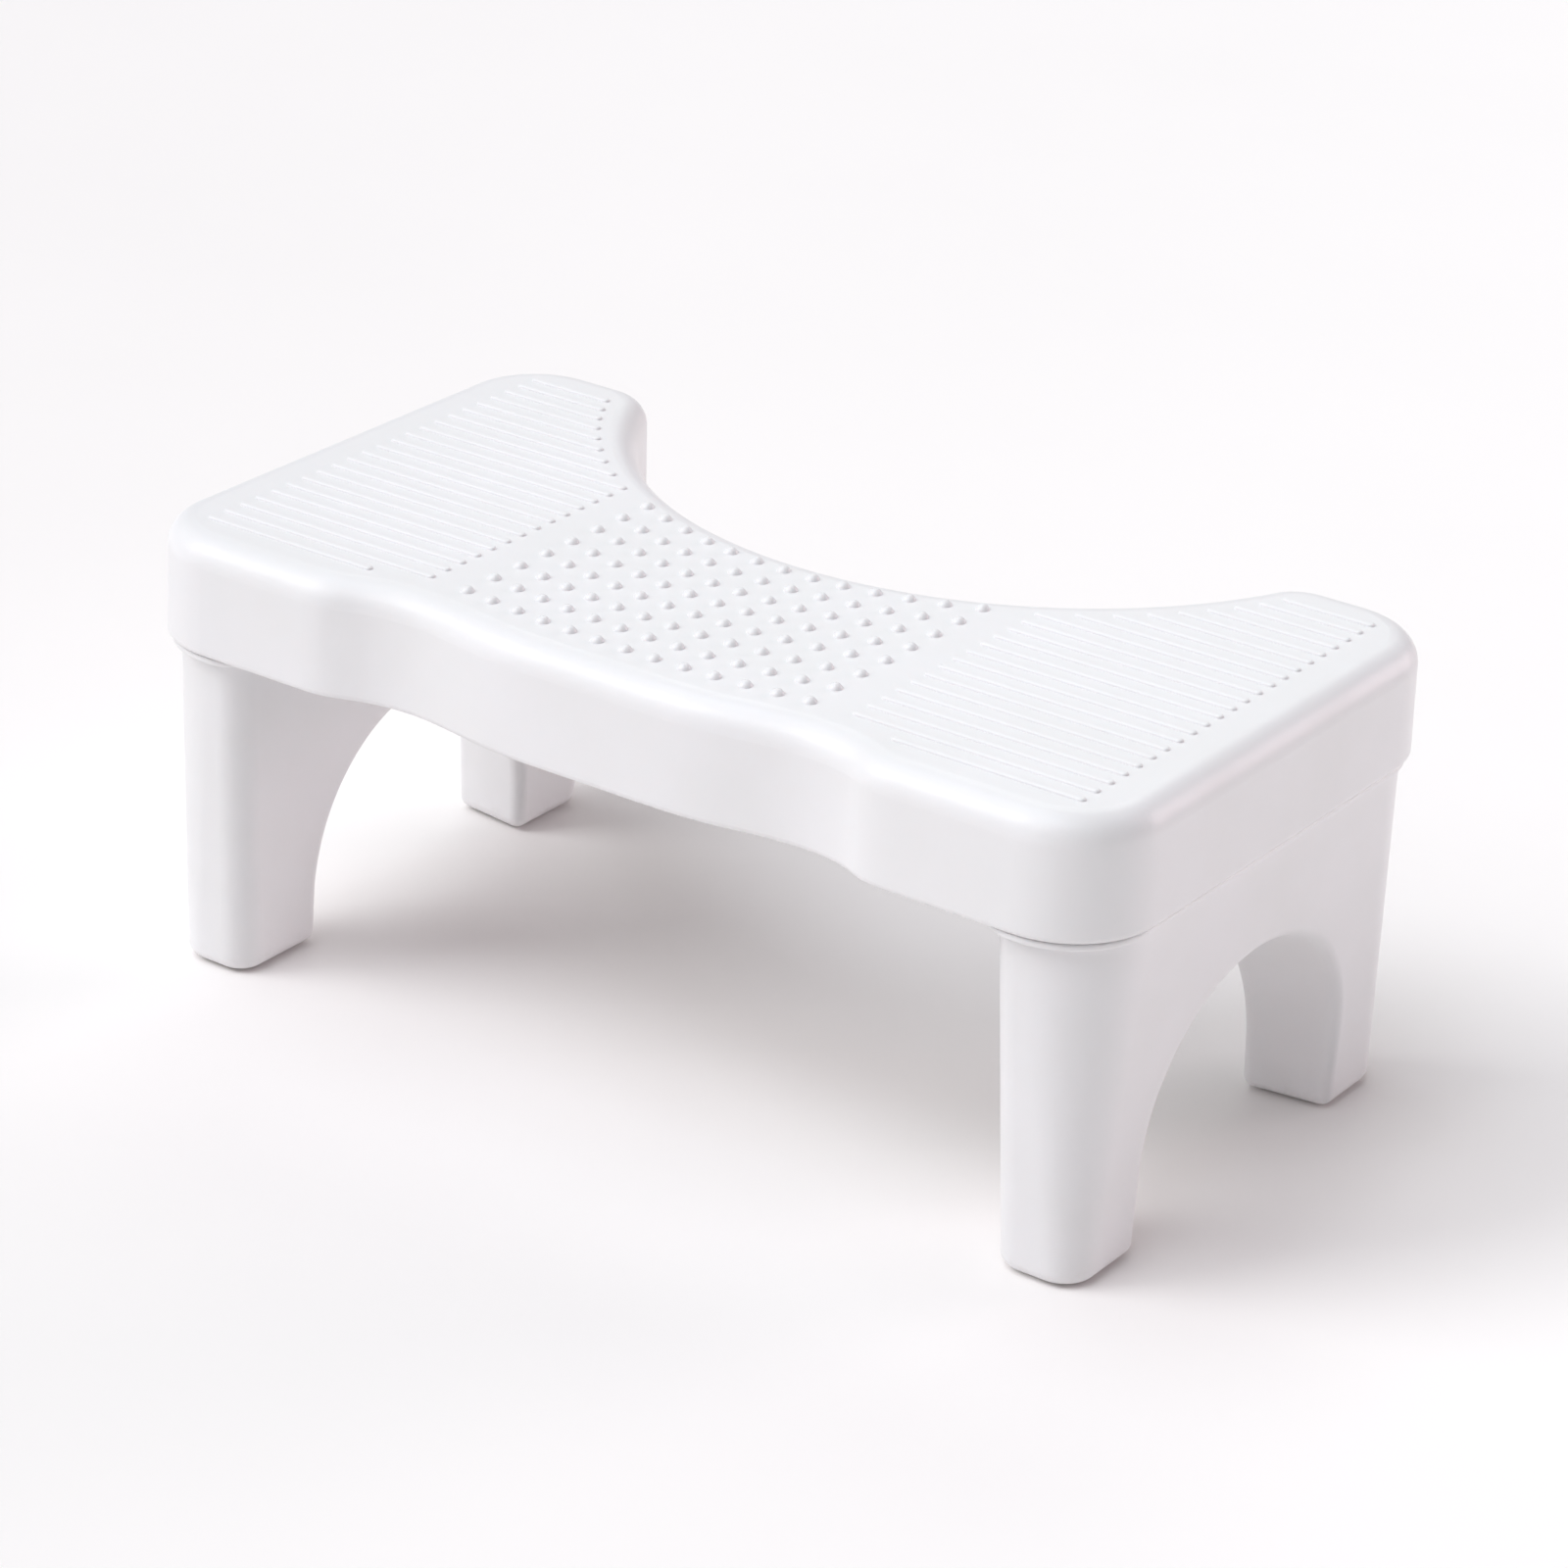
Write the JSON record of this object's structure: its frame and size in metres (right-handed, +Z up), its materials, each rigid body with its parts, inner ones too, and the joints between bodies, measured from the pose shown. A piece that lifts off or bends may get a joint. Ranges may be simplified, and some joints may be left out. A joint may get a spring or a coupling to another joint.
{
  "type": "squat footstool",
  "caption": "Low plastic footstool with a ribbed and domed top, a round cutout in the back and two plug-in arch leg frames.",
  "frame": {"origin": "on the floor, under the middle of the stool's outline", "axes": "+X along the stool's length, +Y towards the cutout, +Z up"},
  "size_m": [0.397, 0.219, 0.171],
  "materials": {
    "white_plastic": "satin moulded polypropylene with a fine spark texture",
    "pad_rubber": "soft off-white anti-slip rubber"
  },
  "bodies": {
    "deck": {"deck": "white_plastic"},
    "frame_left": {"leg_frame_left": "white_plastic", "foot_pad_front_left": "pad_rubber", "foot_pad_rear_left": "pad_rubber"},
    "frame_right": {"leg_frame_right": "white_plastic", "foot_pad_front_right": "pad_rubber", "foot_pad_rear_right": "pad_rubber"}
  },
  "joints": [
    {"name": "left_frame_pull", "type": "slide", "parent": "deck", "child": "frame_left", "axis": [0, 0, -1], "range_m": [0, 0.045]},
    {"name": "right_frame_pull", "type": "slide", "parent": "deck", "child": "frame_right", "axis": [0, 0, -1], "range_m": [0, 0.045]}
  ]
}
